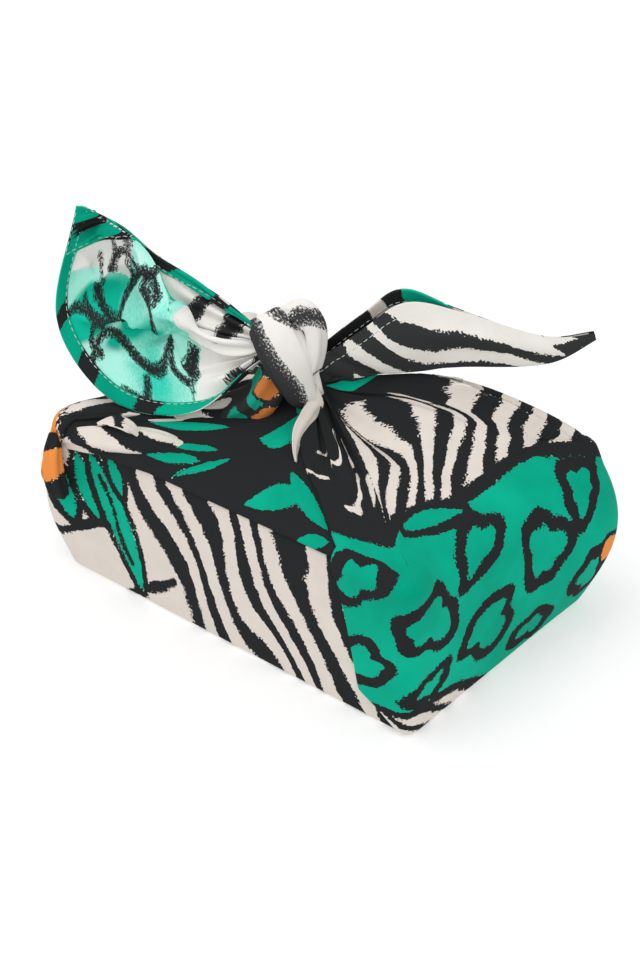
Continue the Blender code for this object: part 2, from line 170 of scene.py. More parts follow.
# inks of the printed cotton
inks = {
    "cream": (0.72, 0.66, 0.60),
    "green": (0.0, 0.365, 0.228),
    "black": (0.019, 0.020, 0.021),
    "orange": (0.78, 0.26, 0.06),
}
tieLitInks = {  # lighter copy of the inks: painted light on the tail and left strand of the tie
    "cream": (0.80, 0.765, 0.72),
    "green": (0.02, 0.42, 0.28),
    "black": (0.034, 0.035, 0.036),
    "orange": (0.62, 0.20, 0.05),
}
reverseInks = {
    "cream": (0.84, 0.82, 0.785),
    "green": (0.03, 0.60, 0.45),
    "black": (0.026, 0.026, 0.028),
}
knotInks = {
    "cream": (0.82, 0.79, 0.755),
    "green": (0.02, 0.53, 0.38),
    "black": (0.042, 0.042, 0.044),
}
greens = {  # what the green turns to where it is fresh, rubbed or thin; full is a deeper green painted as shade
    "fresh": (0.002, 0.43, 0.275), "worn": (0.12, 0.62, 0.46),
    "washed": (0.42, 0.88, 0.76), "pale": (0.76, 0.83, 0.80),
    "full": (0.005, 0.50, 0.345),
}


def darker(colour, share):
    return tuple(share * part for part in colour)


def printedCotton(name, colours, reverse=False, orangeShown=True, cover=0.065):
    # ink, green and orange are signed distances in millimetres, above 0 inside;
    # noise added to them gives the dry brush edges; on the reverse the third marks
    # where a deeper green is painted as shade, along the ear's crease valleys, and
    # cover says how soon the speckled ink closes inside a stroke
    material, tree, shader = newMaterial(name)
    cloth = addNode(tree, "ShaderNodeUVMap", "UV", uv_map="cloth")
    fields = addNode(tree, "ShaderNodeAttribute", "Vector", attribute_name="print")
    split = addNode(tree, "ShaderNodeSeparateXYZ", 0, {0: fields}).socket.node
    ink, green, orange = (Value(tree, output) for output in split.outputs)
    coarse, fine = cloth.noise(260) - 0.5, cloth.noise(820, 1.5, 0.6) - 0.5
    ragged = cloth.noise(45).ramp(0.40, 0.65) * (1.5 if reverse else 4.5)
    edge = coarse * 2.4 + fine * (ragged + 2.2)
    inkMask = (ink + edge).ramp(-0.12, 0.12)
    fade = cloth.noise(60, 4.0, 0.6)
    if reverse:
        # the print shows through unevenly: speckled ink, washed green
        speckle, blotch = cloth.noise(950, 2.0, 0.7), cloth.noise(22)
        inkMask = inkMask * (ink * cover + speckle).ramp(0.38, 0.62)
        wash = (blotch * 1.6 + speckle * 0.35).ramp(0.66, 1.02)
        pale = (blotch + speckle * 0.12).ramp(0.62, 0.72)
        # deeper green painted as shade inside the third field
        full = (orange + (blotch - 0.5) * 30.0).ramp(-1.5, 2.5)
        leafGreen = wash.mix(colours["green"], greens["washed"])
        leafGreen = full.mix(pale.mix(leafGreen, greens["pale"]), greens["full"])
    else:
        fresh = cloth.noise(16, 3.0, 0.6).ramp(0.3, 0.7)
        worn = cloth.noise(900, 3.0, 0.7).ramp(0.60, 0.80) * 0.30
        leafGreen = fresh.mix(darker(colours["green"], 0.84), greens["fresh"])
        leafGreen = worn.mix(leafGreen, greens["worn"])
    cream = fade.ramp(0.3, 0.8).mix(colours["cream"], darker(colours["cream"], 0.93))
    colour = (green + edge).ramp(-1.4, -1.15).mix(cream, leafGreen)
    if orangeShown and not reverse:
        colour = (orange + edge).ramp(-0.9, -0.65).mix(colour, colours["orange"])
    # plain weave: threads one way and the other
    warp, weft = (addNode(tree, "ShaderNodeTexWave", "Fac", {
        "Vector": cloth, "Scale": 800, "Distortion": 1.5}, bands_direction=way)
        for way in "XY")
    weave = (warp * weft).bump(0.35, 0.00008)
    feed(tree, shader, {
        "Base Color": inkMask.mix(colour, colours["black"]),
        "Normal": cloth.noise(55, 3.0, 0.55).bump(0.5, 0.0012, Normal=weave),
        "Roughness": addNode(tree, "ShaderNodeMapRange", "Result", {
            "Value": fade, "To Min": 0.78, "To Max": 0.95}),
        "Specular IOR Level": 0.05, "Sheen Weight": 0.01, "Sheen Roughness": 0.5})
    return material


def threadCotton():
    material, tree, shader = newMaterial("thread")
    place = addNode(tree, "ShaderNodeTexCoord", "Object")
    feed(tree, shader, {
        "Base Color": place.noise(900).mix((0.66, 0.70, 0.66), (0.50, 0.53, 0.50)),
        "Normal": place.noise(3000).bump(0.4, 0.0001), "Roughness": 0.75})
    return material


faceCotton = printedCotton("printedFace", inks)
# the tie's lighter copy of the inks, painted light
tieLitCotton = printedCotton("printedTieLit", tieLitInks)
outerCotton = printedCotton("printedOuter", inks, orangeShown=False)
reverseCotton = printedCotton("printedReverse", reverseInks, True)
knotCotton = printedCotton("printedKnot", knotInks, True, cover=0.045)
threadMaterial = threadCotton()


def smoothStep(value):
    value = np.clip(value, 0, 1)
    return value * value * (3 - 2 * value)


def turned(u, v, turn):
    # the same place in axes turned by this much
    return (u * math.cos(turn) + v * math.sin(turn),
            v * math.cos(turn) - u * math.sin(turn))


def ripple(u, v, height, length, seed):
    # sum of a few long waves in turned directions, never repeating in the piece
    total = np.zeros(np.broadcast(u, v).shape)
    for number in range(5):
        x, y = turned(u, v, seed + 2.4 * number)
        reach = length * (1 + 0.37 * number)
        bend = 0.5 * np.sin(y / (1.7 * reach)) + 1.3 * number + seed
        total += np.sin(2 * math.pi * x / reach + bend)
    return total * height / 5


# how the strokes bend, waver and swell, how a gap in one tapers; millimetres
brush = {"bendLength": 46, "waver": 0.9, "waverLength": 10, "swell": 0.20,
         "swellLength": 12, "gapSpread": 90, "taper": 14, "shut": 5}
absent = -9.0  # a distance well outside: this colour is left out


def bands(u, v, turn, period, share, bend=3.0, seed=0.0, gap=0.0):
    # brush strokes side by side: half width minus the distance to the nearest
    # middle line of a slanted, unevenly bent coordinate; the half width swells
    # along each stroke, and a stroke may taper off and begin again round a gap
    across, along = turned(u, v, math.radians(turn))
    across = (across + ripple(u, v, bend, brush["bendLength"], seed)
              + ripple(u, v, brush["waver"], brush["waverLength"], seed + 2))
    number = np.round(across / period)
    swell = np.sin(along / brush["swellLength"] + 2.3 * number + seed)
    half = share * period / 2 * (1 + brush["swell"] * swell)
    if gap:
        middle = brush["gapSpread"] * (np.abs(np.sin(12.9 * number + seed)) - 0.5)
        shown = smoothStep((np.abs(along - middle) - gap / 2) / brush["taper"])
        half = half * shown - brush["shut"] * (1 - shown)
    return half - np.abs(across - number * period)


def beside(u, v, ends):
    # length and direction of a line between two points, and how far along it
    # and to its left each place is
    u0, v0, u1, v1 = ends
    length = math.hypot(u1 - u0, v1 - v0)
    du, dv = (u1 - u0) / length, (v1 - v0) / length
    return (length, du, dv, (u - u0) * du + (v - v0) * dv,
            (v - v0) * du - (u - u0) * dv)


def wiggle(u, v, row):
    # stroke with round ends between two points, its line bent by a sine
    *ends, half, bend = row
    length, du, dv, along, across = beside(u, v, ends)
    share = np.clip(along / length, 0, 1)
    swell = 0.85 + 0.15 * np.sin(8 * share + ends[0])
    return half * swell - np.hypot(across - bend * np.sin(2 * math.pi * share),
                                   along - share * length)


def leaf(u, v, row):
    # bowed lens between two points; the half width follows a sine along it
    *ends, width = row
    length, du, dv, along, across = beside(u, v, ends)
    share = np.clip(along / length, 0, 1)
    bowed = across - 0.10 * length * (share - share ** 2)
    beyond = np.maximum(np.maximum(-along, along - length), 0)
    return width * np.sin(math.pi * share) ** 0.8 - np.hypot(bowed, beyond)


def ring(u, v, row):
    # stroke round a wobbling oval; positive inside the stroke
    u0, v0, radius, squash, turn, stroke = row
    x, y = turned(u - u0, v - v0, math.radians(turn))
    y = y / squash
    angle = np.arctan2(y, x)
    wobble = ((0.13, 2, u0), (0.13, 3, v0), (0.07, 5, radius), (0.04, 7, v0))
    outline = radius * (1 + sum(size * np.cos(times * angle + start)
                                for size, times, start in wobble))
    return stroke / 2 - np.abs(np.hypot(x, y) - outline) * min(1.0, squash * 1.2)


def most(*shapes):
    return np.max(np.broadcast_arrays(*shapes), axis=0)


def drawn(shape, u, v, rows):
    return most(*(shape(u, v, row) for row in rows))


def painted(ink, green, u, v, rows, line):
    # leaves laid one over another, each green with a black line round it
    for row in rows:
        inside = leaf(u, v, row)
        ink = np.minimum(np.maximum(ink, inside + line), -inside)
        green = np.maximum(green, inside)
    return ink, green


def layered(ink, green=absent, third=absent):
    return np.stack(np.broadcast_arrays(ink, green, third), axis=-1)


def wrapPiece(name, mesh):
    mesh.shade_smooth()
    piece = linked(name, mesh)
    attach(piece, "root")
    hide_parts("wrap")
    return piece


def gridCorners(rows, columns):
    # row and column of the four corners of each quad of a grid
    r, c = np.meshgrid(np.arange(rows), np.arange(columns), indexing="ij")
    return (r, c), (r, c + 1), (r + 1, c + 1), (r + 1, c)


def gridMesh(name, points, u, v, fields, closed=False, caps=False):
    # a quad between each four neighbours of the grid; a closed grid joins its
    # last column to its first, and u, v and fields then have one column more
    rows, columns = points.shape[:2]
    cloth = np.stack([u, v], -1) * mm
    corners = gridCorners(rows - 1, columns if closed else columns - 1)
    loops = np.stack([a * columns + b % columns for a, b in corners], -1).ravel()
    starts = np.arange(0, loops.size, 4)
    totals = np.full(len(starts), 4)
    corner = [np.stack([grid[a, b] for a, b in corners], 2).reshape(
        -1, grid.shape[-1]) for grid in (cloth, fields)]
    if caps:
        first = np.arange(columns)[::-1]
        last = (rows - 1) * columns + np.arange(columns)
        starts = np.concatenate([starts, [loops.size, loops.size + columns]])
        totals = np.concatenate([totals, [columns, columns]])
        loops = np.concatenate([loops, first, last])
        corner = [np.concatenate([grid, edge[0, :columns][::-1], edge[-1, :columns]])
                  for grid, edge in zip(corner, (cloth, fields))]
    mesh = bpy.data.meshes.new(name)
    mesh.vertices.add(rows * columns)
    mesh.vertices.foreach_set("co", points.astype(np.float32).ravel())
    mesh.loops.add(loops.size)
    mesh.loops.foreach_set("vertex_index", loops.astype(np.int32))
    mesh.polygons.add(len(starts))
    mesh.polygons.foreach_set("loop_start", starts.astype(np.int32))
    mesh.polygons.foreach_set("loop_total", totals.astype(np.int32))
    mesh.update(calc_edges=True)
    mesh.uv_layers.new(name="cloth").data.foreach_set(
        "uv", corner[0].astype(np.float32).ravel())
    mesh.attributes.new("print", "FLOAT_VECTOR", "CORNER").data.foreach_set(
        "vector", corner[1].astype(np.float32).ravel())
    mesh.validate()
    return wrapPiece(name, mesh)


wallThickness = 0.0004
endThickness = 0.0005


def clothWall(piece, thickness, front, back, offset=-1):
    for material in (front, back):
        piece.data.materials.append(material)
    wall = piece.modifiers.new("cloth", "SOLIDIFY")
    wall.thickness = thickness
    wall.offset = offset
    wall.use_even_offset = False
    wall.material_offset = 1


def unit(vectors):
    return vectors / np.maximum(np.linalg.norm(vectors, axis=-1, keepdims=True), 1e-9)


def gridNormal(points, closed=False):
    if closed:
        along = np.roll(points, -1, axis=1) - np.roll(points, 1, axis=1)
    else:
        along = np.gradient(points, axis=1)
    return unit(np.cross(along, np.gradient(points, axis=0)))


def arcLength(points, axis):
    # running sum of the steps along one way of the grid
    steps = np.linalg.norm(np.diff(points, axis=axis), axis=-1)
    total = np.cumsum(steps, axis=axis)
    pad = [(0, 0)] * total.ndim
    pad[axis] = (1, 0)
    return np.pad(total, pad)


def creases(u, v, rows):
    # each row: a line between two points, its half width, its height (a trough
    # is negative) and how far it leans over to its left, in millimetres; both
    # fall off like a Gaussian with a sharper crest; gives height and slides
    total = np.zeros((3,) + np.broadcast(u, v).shape)
    for *ends, half, height, lean in rows:
        length, du, dv, along, across = beside(u, v, ends)
        share = along / length
        fade = smoothStep(share / 0.25) * smoothStep((1 - share) / 0.25)
        shape = fade * np.exp(-np.abs(across / half) ** 1.5)
        total += np.array([height, -dv * lean, du * lean])[:, None, None] * shape
    return total


def crinkled(u, v, height, length, seed):
    # crossing families of narrow ridges: one less the size of a slow sine,
    # squared, its line bent by a ripple and its height let swell and fade
    total = np.zeros(np.broadcast(u, v).shape)
    for number in range(3):
        x, y = turned(u, v, seed + 1.1 * number)
        reach = length * (1 + 0.3 * number)
        wave = x / reach + ripple(u, v, 0.5, 2.2 * reach, seed + number)
        swell = smoothStep(0.5 + ripple(u, v, 1.6, 1.7 * reach, seed + 5 + number))
        total += swell * (1 - np.abs(np.sin(math.pi * wave))) ** 2
    return total * height


def shifted(points, normal, lift, slides):
    # moves the grid off its surface and along it, by millimetres
    ways = normal, *(unit(np.gradient(points, axis=axis)) for axis in (1, 0))
    return points + mm * sum(way * move[..., None]
                             for way, move in zip(ways, (lift, *slides)))


# the parcel under its cloth, in metres
parcel = {
    "length": 0.216, "width": 0.140, "rim": 0.080, "corner": 0.006,
    "foot": 0.002, "rimRadius": 0.004, "rightRadius": 0.020, "leftRadius": 0.012,
    "gather": (-0.008, 0.006), "gatherHeight": 0.106, "layer": 0.0016,
    "frontEase": 0.03, "backEase": 0.02,
}
around = 2 * (parcel["length"] + parcel["width"]) - (8 - 2 * math.pi) * parcel["corner"]
frontHalf = parcel["length"] / 2 - parcel["corner"]
side = parcel["width"] - 2 * parcel["corner"]
arc = math.pi / 2 * parcel["corner"]
nearRight = frontHalf + arc / 2
farRight = nearRight + side + arc
farLeft = around - farRight
nearLeft = around - nearRight

# where loose cloth stands off the box: place round the rim, spread, how far
# out, how far the rim is lifted, height of the widest part; millimetres
swells = (
    (nearLeft / mm - 8, 24, 12.5, 5, 0.52),
    (farRight / mm - 6, 40, 15, 9.6, 0.53),
    (farLeft / mm + 6, 26, 9, 6, 0.60),
    (nearRight / mm + 66, 46, 3, 3, 0.50),
    (farRight / mm + 110, 70, 3, 1, 0.50),
    (farLeft / mm + 68, 44, 4, 6, 0.50),
    (0, 60, 1, 0, 0.50),
)
# cloth drawn tight from the far right corner up to the knot: place of its
# ridge, spread on both sides, height, and where it is highest
tent = {"place": 240, "near": 54, "far": 46, "height": 16.6, "highest": 0.52,
        "blunt": 0.62, "sag": 0.27, "sagReach": 0.35}
# pleats from the gather to the rim: place, half width, depth (a ridge is
# negative), where each begins and is deepest on the way in, and its lean
pleats = (
    (66, 9, 3.0, 0.45, 0.75, 0.5), (92, 10, -2.6, 0.35, 0.70, 0),
    (114, 10, 3.4, 0.35, 0.70, 0.5), (134, 10, -2.6, 0.30, 0.68, 0),
    (158, 10, 3.2, 0.22, 0.66, 0.5), (188, 12, -1.8, 0.05, 0.60, 0),
    (216, 9, 2.8, 0.02, 0.45, 0.5), (238, 11, -3.0, 0.00, 0.50, 0),
    (262, 12, 2.8, 0.05, 0.60, 0.4), (300, 12, -1.8, 0.20, 0.60, 0),
    (340, 14, 2.0, 0.30, 0.62, 0.4), (400, 14, -1.8, 0.20, 0.62, 0),
    (430, 12, 2.4, 0.10, 0.60, 0.4), (462, 12, -2.6, 0.00, 0.50, 0),
    (494, 12, 2.2, 0.10, 0.60, 0.4), (540, 14, -3.0, 0.05, 0.60, 0),
)

ringPlaces = np.linspace(0, around, 4001)
cornerStarts = (frontHalf, nearRight + arc / 2 + side, around / 2 + frontHalf,
                around - frontHalf - arc)
ringTurn = sum(np.clip((ringPlaces - start) / arc, 0, 1) for start in cornerStarts)
ringTurn = ringTurn * math.pi / 2


def ringSum(values):
    steps = (values[1:] + values[:-1]) / 2 * (ringPlaces[1] - ringPlaces[0])
    return np.concatenate([[0], np.cumsum(steps)])


ringX = ringSum(np.cos(ringTurn))
ringY = ringSum(np.sin(ringTurn)) - parcel["width"] / 2


def placeGap(place, other):
    gap = np.mod(place - other, around)
    return np.where(gap > around / 2, gap - around, gap)


def widthsFrom(place, at, width):
    return placeGap(place, at * mm) / (width * mm)


def tentHeight(place, inward):
    # blunt arch along the ridge, falling off to its sides by a Gaussian
    gap = placeGap(place, tent["place"] * mm) / mm
    gap = gap / np.where(gap < 0, tent["near"], tent["far"])
    arch = np.sin(math.pi * inward ** (math.log(0.5) / math.log(tent["highest"])))
    arch = np.clip(arch, 0, 1) ** tent["blunt"]
    sag = 1 - tent["sag"] * smoothStep((inward - tent["highest"]) / tent["sagReach"])
    return tent["height"] * mm * arch * sag * np.exp(-gap ** 2)


def skin(place, climb):
    # climb runs from -1 at the middle of the base to 0 at the foot of the
    # wall, 1 at the rim and 2 at the gather; the wall bellies out by a Gaussian
    # round each swell, and the top rises slowly, then steeply at the gather
    place = np.mod(place, around)
    x = np.interp(place, ringPlaces, ringX)
    y = np.interp(place, ringPlaces, ringY)
    turn = np.interp(place, ringPlaces, ringTurn)
    normalX, normalY = np.sin(turn), -np.cos(turn)
    top = np.full_like(place, parcel["rim"])
    for at, spread, out, lift, height in swells:
        top = top + lift * mm * np.exp(-widthsFrom(place, at, spread) ** 2)
    foot, rimRadius = parcel["foot"], parcel["rimRadius"]
    footArc = foot * math.pi / 2
    right = (smoothStep((place - nearRight) / parcel["frontEase"])
             * smoothStep((farRight - place) / parcel["backEase"]))
    left = (smoothStep((place - farLeft) / parcel["backEase"])
            * smoothStep((nearLeft - place) / parcel["frontEase"]))
    radius = (rimRadius + (parcel["rightRadius"] - rimRadius) * right
              + (parcel["leftRadius"] - rimRadius) * left)
    rimArc = radius * math.pi / 2
    straight = top - foot - radius
    path = np.clip(climb, 0, 1) * (footArc + straight + rimArc)
    footTurn = np.clip(path / footArc, 0, 1) * math.pi / 2
    rimTurn = np.clip((path - footArc - straight) / rimArc, 0, 1) * math.pi / 2
    z = (foot * (1 - np.cos(footTurn)) + np.clip(path - footArc, 0, straight)
         + radius * np.sin(rimTurn))
    out = -foot * (1 - np.sin(footTurn)) - radius * (1 - np.cos(rimTurn))
    for at, spread, bulge, lift, height in swells:
        peak = math.log(0.5) / math.log(height)
        arch = np.sin(math.pi * np.clip(z / top, 0, 1) ** peak)
        out = out + bulge * mm * np.exp(-widthsFrom(place, at, spread) ** 2) * arch
    x, y = x + normalX * out, y + normalY * out
    inward, under = np.clip(climb - 1, 0, 1), np.clip(-climb, 0, 1)
    x = x + (parcel["gather"][0] - x) * (inward + under)
    y = y + (parcel["gather"][1] - y) * (inward + under)
    rise = 0.62 * inward ** 1.1 + 0.38 * inward ** 7
    z = np.where(climb > 1, top + (parcel["gatherHeight"] - top) * rise, z)
    z = z + tentHeight(place, inward) * (climb > 1)
    return np.stack([x, y, np.where(climb < 0, 0, z)], axis=-1)


def pleatDepth(place, inward):
    depth = np.zeros(np.broadcast(place, inward).shape)
    for at, half, deep, begins, deepest, lean in pleats:
        gap = widthsFrom(place, at, half)
        gap = gap / np.where(gap > 0, 1 + lean, 1 - lean)
        rise = smoothStep((inward - begins) / (deepest - begins))
        fade = rise * (1 - smoothStep((inward - 0.85) / 0.15))
        depth = depth + deep * mm * fade * np.exp(-gap ** 2)
    return depth


def readTable(table, at):
    # straight lines between the rows of a table of places and values
    return np.interp(at, *zip(*table))


# folds at the knot: share of the cloth drawn in there, width of the step at a
# fold and of the slope behind it in millimetres, and where the lap ends
lap = {"drawn": 0.86, "step": 2.2, "slope": 14, "grow": 0.15, "ends": 0.88,
       "fade": 0.1}


def takenIn(place, inward, middle, folds):
    # cloth round the panel: what shows keeps its size while each fold hides
    # the rest, in a narrow step at the fold's place
    total = placeGap(place, middle) * (1 - lap["drawn"] * np.clip(inward, 0, 1))
    for at, hidden, overlap, begins in folds:
        gap = widthsFrom(place, at, lap["step"])
        share = lap["drawn"] * np.clip((inward - begins) / (1 - begins), 0, 1)
        total = total + share * hidden * mm * (smoothStep(gap / 2 + 0.5) - 0.5)
    return total


def overlaps(place, inward, folds):
    # each fold laps over its neighbour: a step at the fold's place that slopes
    # away over a few millimetres of cloth
    total = np.zeros(np.broadcast(place, inward).shape)
    ends = 1 - smoothStep((inward - lap["ends"]) / lap["fade"])
    for at, hidden, overlap, begins in folds:
        gap = np.sign(overlap) * widthsFrom(place, at, 1)
        step = smoothStep(gap / lap["step"] + 0.5)
        step = step * np.clip(1 - gap / lap["slope"], 0, 1)
        shown = smoothStep((inward - begins) / lap["grow"]) * ends
        total += abs(overlap) * mm * step * shown
    return total


def raised(place, climb, lift, closed=False):
    # cloth lifted off the skin, with the pleats pressed into it
    base = skin(place, climb)
    normal = gridNormal(base[:, :-1] if closed else base, closed)
    if closed:
        normal = np.concatenate([normal, normal[:, :1]], axis=1)
    points = base + normal * lift[..., None]
    points[..., 2] -= pleatDepth(place, np.clip(climb - 1, 0, 1))
    return points, normal


def curled(edge, away, out, radius, degrees):
    # rows that carry an edge on round a small radius, under the cloth
    return [edge + away * radius * math.sin(a) - out * radius * (1 - math.cos(a))
            for a in np.radians(degrees)]


# parcel body: base, walls and what lies under the flap
body = {"columns": 468, "baseRows": 6, "footRows": 5, "rows": 120, "foot": 0.03,
        "end": 1.97, "inset": 0.0006, "sunk": 0.0024}
frontLeaves = (  # u and v of both ends, half width
    (-103, 66, -95, 36, 4.4), (-94, 74, -82, 38, 4.8), (-86, 76, -56, 6, 7.2),
    (-74, 78, -66, 58, 3.4),
)
frontVeins = ((-80, 64, -62, 20, 1.7, 1.4),)
frontBars = ((-112, 22, -82, 38, 3.2, 0.6), (-66, 0, -34, 22, 3.2, 0.6))


def frontPrint(u, v):
    # slanted brush strokes on cream, a cluster of leaves at the left
    strokes = bands(u, v, 26, 17.5, 0.46, 13.0, 0.35)
    strokes = np.minimum(strokes, (u + 48) * 0.8 + (v - 40) * 0.4)
    ink, green = painted(most(strokes, drawn(wiggle, u, v, frontBars)), absent,
                         u, v, frontLeaves, 4.0)
    return layered(most(ink, drawn(wiggle, u, v, frontVeins)), green)


def makeBody():
    place = np.linspace(0, around, body["columns"] + 1)
    place, climb = np.meshgrid(place, np.concatenate([
        np.linspace(-1, 0, body["baseRows"])[1:-1],
        np.linspace(0, body["foot"], body["footRows"])[:-1],
        np.linspace(body["foot"], body["end"], body["rows"])]))
    u, v = placeGap(place, 0) / mm, arcLength(skin(place, climb), 0) / mm
    v = v - v[body["baseRows"] - 2][None]
    lift = ripple(u, v, 0.5, 48, 1.7) * smoothStep(v / 18) * mm
    lift = lift - body["inset"] - body["sunk"] * smoothStep((climb - 0.96) / 0.1)
    points, normal = raised(place, climb, lift, True)
    points[..., 2] = np.maximum(points[..., 2], 0)
    u = np.where(place > around / 2, place - around, place) / mm
    piece = gridMesh("parcelBody", points[:, :-1], u, v, frontPrint(u, v), True, True)
    piece.data.materials.append(faceCotton)


makeBody()
print("body is made")

# over flap: the back corner brought over the top to a folded edge
flap = {"columns": 400, "rows": 100, "roll": 1.1, "end": 1.985, "behind": 190,
        "edge": 0.02, "cornerPlace": 222, "cornerEase": 16}
flapEdge = ((-110, 0.88), (-80, 0.92), (-46, 0.955), (66, 0.965), (74, 0.955),
            (110, 0.93))
flapLeaves = (
    (10, 80, 42, 106, 7.5), (-20, 120, 20, 136, 11.0), (28, 112, 60, 90, 8.0),
    (-62, 97, -34, 104, 3.4), (-56, 84, -32, 93, 5.0), (-32, 78, -20, 102, 3.4),
    (44, 74, 60, 82, 4.0), (-92, 112, -58, 126, 6.5), (-24, 146, 24, 152, 9),
)


def flapPrint(u, v):
    # leaves on black over the top, brush strokes down the back
    leaves = drawn(leaf, u, v, flapLeaves)
    behind = np.abs(u) - flap["behind"]
    strokes = bands(u, v, 62, 19, 0.50, 7, 0.9, 12)
    ink = most(np.minimum(-leaves, -behind), np.minimum(strokes, behind),
               6 - np.abs(behind))
    return layered(ink, np.minimum(leaves + 0.5, -behind))


def makeFlap():
    place = np.linspace(0, around, flap["columns"] + 1)
    gap = placeGap(place, 0) / mm
    back = smoothStep((np.abs(gap) - flap["cornerPlace"]) / flap["cornerEase"])
    first = readTable(flapEdge, gap) * (1 - back) + flap["edge"] * back
    climb = first + (flap["end"] - first) * np.linspace(0, 1, flap["rows"])[:, None]
    place = np.broadcast_to(place, climb.shape)
    u, v = placeGap(place, 0) / mm, arcLength(skin(place, climb), 0) / mm
    v = v + first[None] * parcel["rim"] / mm
    low = 0.25 + 0.75 * smoothStep((climb - 0.8) / 0.15)
    lift = parcel["layer"] * low * smoothStep(climb / 0.05)
    lift += ripple(u, v, 0.5, 40, 0.6) * mm * smoothStep((climb - 1) / 0.2)
    points, normal = raised(place, climb, lift, True)
    edge = curled(points[0], unit(points[0] - points[1]), normal[0], flap["roll"] * mm,
                  (150, 100, 50))
    points = np.concatenate([edge, points])
    u = np.concatenate([u[:1]] * 3 + [u])
    v = np.concatenate([v[:1] - step for step in (3, 2, 1)] + [v])
    piece = gridMesh("overFlap", points[:, :-1], u, v, flapPrint(u, v), True)
    clothWall(piece, wallThickness, faceCotton, reverseCotton)


makeFlap()
print("flap is made")

# end panels: the cloth drawn up over each end to the knot; columns of the
# folds are the place, the cloth hidden there, the overlap and where it begins
rightPanel = {
    "near": ((0.0, 107), (0.02, 107), (0.14, 92), (0.20, 82), (0.60, 74), (1.0, 65),
             (1.31, 56), (1.47, 42), (1.66, 28), (1.83, 12), (1.97, 0)),
    "far": ((0.0, 243), (0.02, 243), (0.14, 258), (0.20, 268), (0.60, 279), (1.0, 290),
            (1.30, 300), (1.60, 312), (1.97, 330)),
    "columns": 300, "rows": 148, "middle": 175.0, "seed": 0.9, "roll": 1.2,
    "folds": ((74, 44, 1.4, 0.4), (98, 8, -1.1, 0.5), (120, 50, 1.5, 0.35),
              (160, 50, 1.5, 0.3), (218, 60, 1.8, 0.04), (262, 40, 1.2, 0.1)),
}
leftPanel = {
    "near": ((0.0, 590), (0.02, 590), (0.40, 590), (0.90, 600), (1.0, 602), (1.3, 602),
             (1.6, 602), (1.97, 600)),
    "far": ((0.0, 455), (0.02, 455), (0.14, 442), (0.20, 432), (0.60, 420), (1.0, 408),
            (1.30, 398), (1.60, 386), (1.97, 370)),
    "columns": 180, "rows": 120, "middle": 526.0, "seed": 2.2, "roll": 1.2,
    "folds": ((430, 60, 1.3, 0.2), (494, 60, 1.3, 0.2), (560, 50, 1.3, 0.15)),
}
# rings on the green end: u and v of the middle, radius, squash, turn, stroke
endRings = (
    (-96, 88, 15, 0.62, 5, 6.6), (-56, 64, 16, 0.80, -30, 7.0),
    (-92, 46, 14, 0.72, 20, 6.6), (-18, 78, 15, 0.64, 30, 6.6),
    (-16, 36, 17, 0.78, 25, 7.0), (22, 60, 18, 0.66, 70, 6.8),
    (20, 16, 13, 0.62, 15, 6.4), (50, 84, 14, 0.62, 60, 6.4),
    (54, 38, 15, 0.58, 75, 6.4), (80, 64, 14, 0.58, 85, 6.4),
    (86, 18, 12, 0.60, 60, 6.0), (104, 84, 12, 0.62, 100, 6.0),
    (112, 46, 13, 0.62, 80, 6.0), (-56, 30, 10, 0.70, 10, 6.4),
)
nearSpots = ((-62, 134, -46, 142, 4.5),)
endBlots = ((64, 198, 90, 208, 7), (-44, 107, -12, 94, 5))
leftBlots = ((58, 92, 76, 74, 9), (62, 70, 78, 50, 8.5))
nearArcs = ((-112, 150, -94, 156, 1.8, 1.5), (-90, 170, -72, 178, 2.2, 2.5),
            (-82, 134, -66, 150, 2.8, -3), (-106, 176, -98, 186, 1.2, 0.5))
# where the green of the end stops above and below, and the dark near edge
greenTop = ((-115, -97, -70, -48, -26, -10, 16, 41, 63, 90, 125),
            (108, 110, 113, 109, 98, 94, 98, 104, 97, 88, 80))
greenFoot = ((-115, -91, -62, -38, -12, 2), (24, 23, 24, 17, 4, -8))
nearEdge = ((90, 120, 150, 180, 200), (-106, -84, -66, -50, -40))


def rightPrint(u, v):
    # green over the end with rings, a black border, brush strokes above and
    # at the near bottom corner
    above = v - (np.interp(u, *greenTop) + ripple(u, v, 2.0, 30, 0.4))
    below = np.interp(u, *greenFoot) - v
    outside = np.maximum(above, below)
    strokes = most(bands(u, v, -38, 13, 0.52, 6.5, 0.1, 9), (v - 178) * 0.5)
    near = u - np.interp(v, *nearEdge)
    dark = np.minimum(26 - near, v - 104)
    spots = most(drawn(leaf, u, v, nearSpots), drawn(wiggle, u, v, nearArcs))
    strokes = np.minimum(np.maximum(strokes, dark), -spots)
    strokes = np.minimum(strokes, np.maximum(np.abs(near + 2) - 3, 156 - v))
    foot = bands(u, v, 52, 11, 0.46, 2, 0.2)
    ink = most(np.minimum(strokes, above), np.minimum(foot, below),
               np.minimum(drawn(ring, u, v, endRings), -outside),
               4.5 - np.abs(above - 4), 3.0 - np.abs(below - 2.6))
    blot = drawn(leaf, u, v, endBlots)
    orange = 7 - np.hypot((u - 64) / 0.7, v - 50)
    ink = np.minimum(most(ink, orange + 2.8, blot + 5), -most(orange, blot))
    return layered(ink, np.maximum(-outside, blot), orange)


def leftPrint(u, v):
    # brush strokes on cream with two orange blots towards the front
    blot = drawn(leaf, u, v, leftBlots)
    ink = most(bands(u, v, 40, 30, 0.62, 7, 0.3), blot + 2.5)
    return layered(np.minimum(ink, -blot), absent, blot)


